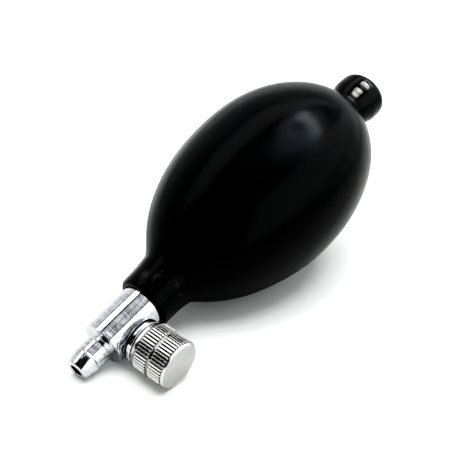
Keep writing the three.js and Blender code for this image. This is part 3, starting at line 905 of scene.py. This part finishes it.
# Small lamps over the rear neck that only show as glints: two directions the lamp spans, its
# width in metres, and its brightness.
GLINTS = (
    ((0.10, -0.20, 0.97), (0.08, 0.60, 0.80), 0.009, 3.4),
    ((-0.31, -0.20, 0.93), (-0.35, 0.56, 0.76), 0.0025, 6.0),
)
GLINT_REACH = 0.06
GLINT_SPREAD_DEG = 40
GLINT_STATION = -47.0

# Camera: place and aim from the belly's centre, roll and lens; and its direction from the bulb.
EYE_AT = Vector((0.23945, 0.16747, 0.18585))
EYE_AIM = Vector((0.01346, -0.0042, -0.0126))
EYE_ROLL_DEG = 5.64
EYE_LENS_MM = 87.4
EYE_SIDE = Vector((0.6526, 0.4957, 0.5731)).normalized()

# Direction from the bulb of the room's dark patch.
DARK_SIDE = Vector((0.896, 0.240, 0.375)).normalized()

# Main lamp: place and width in metres, and watts.
KEY_AT = (-0.09, -0.10, 0.7)
KEY_SIZE = 0.9
KEY_POWER = 14

# White table: half its side, and the distances over which it fades into the backdrop, in metres.
TABLE_HALF = 3
TABLE_FADE = (0.45, 0.8)

# Contrast curve of the picture: level in, level out.
TONE = ((0.006, 0.0), (0.03, 0.013), (0.09, 0.10), (0.16, 0.225), (0.35, 0.475), (0.6, 0.745))


def floor():
    """White table, greyer to every ray but the camera's. It fades into the backdrop far away."""
    mesh = bpy.data.meshes.new("table")
    corners = [(x * TABLE_HALF, y * TABLE_HALF, 0) for x, y in ((-1, -1), (1, -1), (1, 1), (-1, 1))]
    mesh.from_pydata(corners, [], [(0, 1, 2, 3)])
    table = bpy.data.objects.new("table", mesh)
    bpy.context.scene.collection.objects.link(table)
    material, nodes, links, shader, _ = fresh_material("table_white")
    seen = nodes.new("ShaderNodeLightPath").outputs["Is Camera Ray"]
    paint = mix_colour(nodes, links, seen, (0.42, 0.42, 0.416), (0.93, 0.94, 0.935))
    links.new(paint, shader.inputs["Base Color"])
    shader.inputs["Roughness"].default_value = 0.8
    shader.inputs["Specular IOR Level"].default_value = 0.0
    spot = nodes.new("ShaderNodeVectorMath")
    spot.operation = "LENGTH"
    links.new(nodes.new("ShaderNodeNewGeometry").outputs["Position"], spot.inputs[0])
    far = spread(nodes, links, spot.outputs["Value"], *TABLE_FADE, 0.0, 1.0)
    backdrop = nodes.new("ShaderNodeEmission")
    faded = nodes.new("ShaderNodeMixShader")
    links.new(arithmetic(nodes, links, "MULTIPLY", far, seen), faded.inputs["Fac"])
    links.new(shader.outputs[0], faded.inputs[1])
    links.new(backdrop.outputs[0], faded.inputs[2])
    links.new(faded.outputs[0], nodes["Material Output"].inputs["Surface"])
    mesh.materials.append(material)


def area_light(name, at, aim, size, power, colour):
    data = bpy.data.lights.new(name, "AREA")
    data.shape = "DISK"
    data.size = size
    data.energy = power
    data.color = colour
    lamp = bpy.data.objects.new(name, data)
    bpy.context.scene.collection.objects.link(lamp)
    lamp.location = at
    lamp.rotation_euler = (Vector(aim) - Vector(at)).to_track_quat("-Z", "Y").to_euler()
    return lamp


def neck_glint(name, one, two, width, level):
    """Bar-shaped lamp over the rear neck, mirrored by glossy surfaces but lighting nothing else."""
    one, two = Vector(one).normalized(), Vector(two).normalized()
    away = (one + two).normalized()
    across = (two - one).normalized()
    length = (two - one).length * GLINT_REACH
    middle = BULB @ Vector((GLINT_STATION, 0, 0))
    skin = middle + (away + EYE_SIDE).normalized() * REAR_NECK_RADIUS * MM
    lamp = area_light(name, skin, skin + away, length, 1, (1.0, 0.98, 0.88))
    lamp.data.shape = "RECTANGLE"
    lamp.data.size_y = width
    lamp.data.spread = math.radians(GLINT_SPREAD_DEG)
    lamp.data.energy = level * math.pi * length * width
    axes = Matrix((across, away.cross(across), away)).transposed().to_4x4()
    lamp.matrix_world = Matrix.Translation(skin + away * GLINT_REACH) @ axes
    lamp.visible_diffuse = False
    lamp.visible_camera = False


def toward(nodes, links, direction, axis):
    """Cosine between the ray's direction and an axis."""
    node = nodes.new("ShaderNodeVectorMath")
    node.operation = "DOT_PRODUCT"
    node.inputs[1].default_value = axis
    links.new(direction, node.inputs[0])
    return node.outputs["Value"]


def banded_room(nodes, links, direction):
    """Bands of light and shade round the bulb's axis, with a dark patch round the camera."""
    near = (EYE_SIDE - ALONG * EYE_SIDE.dot(ALONG)).normalized()
    right = near.cross(ALONG).normalized()
    across = toward(nodes, links, direction, right)
    turn = arithmetic(nodes, links, "ARCTAN2", across, toward(nodes, links, direction, near))
    share = arithmetic(nodes, links, "MULTIPLY_ADD", turn, 0.5 / math.pi)
    share.node.inputs[2].default_value = 0.5
    ramp = nodes.new("ShaderNodeValToRGB")
    links.new(share, ramp.inputs["Fac"])
    elements = ramp.color_ramp.elements
    while len(elements) > 1:
        elements.remove(elements[-1])
    for i, (degrees, level, broken) in enumerate(ROOM_BANDS):
        stop = elements[0] if i == 0 else elements.new((degrees + 180) / 360)
        stop.position = (degrees + 180) / 360
        stop.color = (level, level * 1.01, level * 1.02, broken)
    along = arithmetic(nodes, links, "MULTIPLY", toward(nodes, links, direction, ALONG), ROOM_LINES)
    gaps = spread(nodes, links, arithmetic(nodes, links, "SINE", along), -0.9, 0.5, 0.85, 0.0)
    broken = arithmetic(nodes, links, "MULTIPLY", gaps, ramp.outputs["Alpha"])
    bands = mix_colour(nodes, links, broken, ramp.outputs["Color"], (0.06, 0.065, 0.07))
    lit = spread(nodes, links, toward(nodes, links, direction, DARK_SIDE), 0.64, 0.72, 1.0, 0.0)
    return mix_colour(nodes, links, lit, (0.02, 0.02, 0.02), bands)


def add_windows(nodes, links, direction, room):
    """Lays the soft bright windows over the room."""
    for centre, narrow, wide, veil, colour in WINDOWS:
        facing = toward(nodes, links, direction, Vector(centre).normalized())
        glow = spread(nodes, links, facing, wide, narrow, 0.0, 1.0)
        cloudy = spread(nodes, links, grain(nodes, links, direction, 3.5, 3), 0.4, 0.62, 1 - veil, 1.0)
        share = arithmetic(nodes, links, "MULTIPLY", glow, cloudy)
        room = mix_colour(nodes, links, share, room, colour)
    return room


def mix_by_ray(nodes, links, ray, plain, special):
    """One shader for most rays, another for the kind of ray named."""
    mix = nodes.new("ShaderNodeMixShader")
    links.new(nodes.new("ShaderNodeLightPath").outputs[ray], mix.inputs["Fac"])
    links.new(plain, mix.inputs[1])
    links.new(special, mix.inputs[2])
    return mix.outputs[0]


def studio_world():
    """Soft light from all round, and a white backdrop for the camera. Glossy rays see a patterned
    room instead."""
    world = bpy.data.worlds.new("studio")
    bpy.context.scene.world = world
    world.use_nodes = True
    nodes, links = world.node_tree.nodes, world.node_tree.links
    plain = nodes["Background"]
    plain.inputs["Color"].default_value = (0.96, 1.0, 0.975, 1)
    plain.inputs["Strength"].default_value = 0.5
    backdrop = nodes.new("ShaderNodeBackground")
    backdrop.inputs["Color"].default_value = (1, 1, 1, 1)
    patterned = nodes.new("ShaderNodeBackground")
    direction = nodes.new("ShaderNodeTexCoord").outputs["Generated"]
    room = add_windows(nodes, links, direction, banded_room(nodes, links, direction))
    links.new(room, patterned.inputs["Color"])
    seen = mix_by_ray(nodes, links, "Is Camera Ray", plain.outputs[0], backdrop.outputs[0])
    mirrored = mix_by_ray(nodes, links, "Is Glossy Ray", seen, patterned.outputs[0])
    links.new(mirrored, nodes["World Output"].inputs["Surface"])


def key_lamp():
    """Big soft lamp above the bulb, which no shiny surface mirrors."""
    key = area_light("key", KEY_AT, (0, 0, 0), KEY_SIZE, KEY_POWER, (0.98, 1, 0.985))
    key.visible_glossy = False


def tone():
    """Plain display transform with a contrast curve that closes the blacks."""
    settings = bpy.context.scene.view_settings
    settings.view_transform = "Standard"
    settings.use_curve_mapping = True
    curve = settings.curve_mapping.curves[3]
    for at, level in TONE:
        curve.points.new(at, level).handle_type = "VECTOR"
    settings.curve_mapping.update()


def camera():
    data = bpy.data.cameras.new("camera")
    data.lens = EYE_LENS_MM
    data.clip_start = 0.01
    data.clip_end = 10
    eye = bpy.data.objects.new("camera", data)
    bpy.context.scene.collection.objects.link(eye)
    look = (EYE_AIM - EYE_AT).to_track_quat("-Z", "Y").to_matrix().to_4x4()
    roll = Matrix.Rotation(math.radians(EYE_ROLL_DEG), 4, "Z")
    eye.matrix_world = Matrix.Translation(BELLY_CENTRE + EYE_AT) @ look @ roll
    bpy.context.scene.camera = eye


floor()
studio_world()
key_lamp()
for number, glint in enumerate(GLINTS):
    neck_glint("glint_%d" % number, *glint)
camera()
tone()
